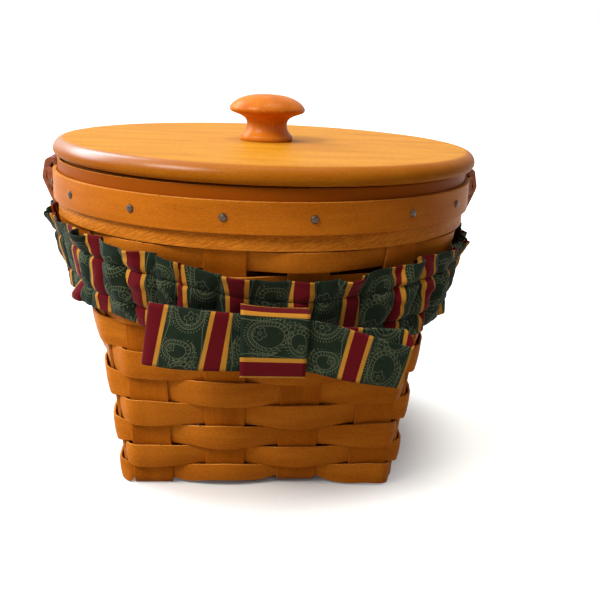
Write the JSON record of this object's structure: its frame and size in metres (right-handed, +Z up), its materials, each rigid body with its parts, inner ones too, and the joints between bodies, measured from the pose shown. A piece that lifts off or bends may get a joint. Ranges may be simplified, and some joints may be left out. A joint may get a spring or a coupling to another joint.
{
  "type": "lidded splint basket",
  "caption": "Woven wood splint basket with a square foot and round rim, a lift-off turned wooden lid with a knob, leather ears and a gathered cloth garter with a bow.",
  "frame": {"origin": "middle of the bounding box's footprint, on the table plane", "axes": "+Z up; -Y towards the side with the bow; X along the front, ears at its two ends"},
  "size_m": [0.2406, 0.2381, 0.1998],
  "materials": {
    "stake_wood": "honey-stained maple splint, satin",
    "weft_wood": "honey-stained maple splint, satin",
    "rim_wood": "honey-stained maple strip, satin",
    "lid_wood": "honey-stained maple board, satin lacquer",
    "ear_leather": "red-brown leather, satin",
    "tack_metal": "dull grey-brown steel",
    "ruffle_cloth": "matte printed cotton, dark green with red and gold stripes",
    "bow_cloth": "matte printed cotton, dark green with red and gold stripes",
    "elastic_band": "off-white braided elastic"
  },
  "bodies": {
    "basket": {"stake_y_1": "stake_wood", "stake_y_2": "stake_wood", "stake_y_3": "stake_wood", "stake_y_4": "stake_wood", "stake_x_1": "stake_wood", "stake_x_2": "stake_wood", "stake_x_3": "stake_wood", "stake_x_4": "stake_wood", "weft_row_01": "weft_wood", "weft_row_02": "weft_wood", "weft_row_03": "weft_wood", "weft_row_04": "weft_wood", "weft_row_05": "weft_wood", "weft_row_06": "weft_wood", "weft_row_07": "weft_wood", "weft_row_08": "weft_wood", "weft_row_09": "weft_wood", "weft_row_10": "weft_wood", "rim_band_outer": "rim_wood", "rim_band_inner": "rim_wood", "rim_trim_strip": "rim_wood", "tack_01": "tack_metal", "tack_02": "tack_metal", "tack_03": "tack_metal", "tack_04": "tack_metal", "tack_05": "tack_metal", "tack_06": "tack_metal", "tack_07": "tack_metal", "tack_08": "tack_metal", "tack_09": "tack_metal", "tack_10": "tack_metal", "tack_11": "tack_metal", "tack_12": "tack_metal", "tack_13": "tack_metal", "tack_14": "tack_metal", "tack_15": "tack_metal", "tack_16": "tack_metal", "leather_ear_left": "ear_leather", "leather_ear_right": "ear_leather"},
    "lid": {"lid_board": "lid_wood", "lid_locator": "lid_wood", "lid_knob": "lid_wood", "knob_screw": "tack_metal"},
    "garter": {"garter_elastic": "elastic_band", "garter_ruffle": "ruffle_cloth", "bow_loop_left": "bow_cloth", "bow_loop_right": "bow_cloth", "bow_knot": "bow_cloth"}
  },
  "joints": [
    {"name": "lid_lift", "type": "slide", "parent": "basket", "child": "lid", "axis": [0, 0, 1], "range_m": [0, 0.12]},
    {"name": "garter_slide", "type": "slide", "parent": "basket", "child": "garter", "axis": [0, 0, -1], "range_m": [0, 0.06]}
  ]
}
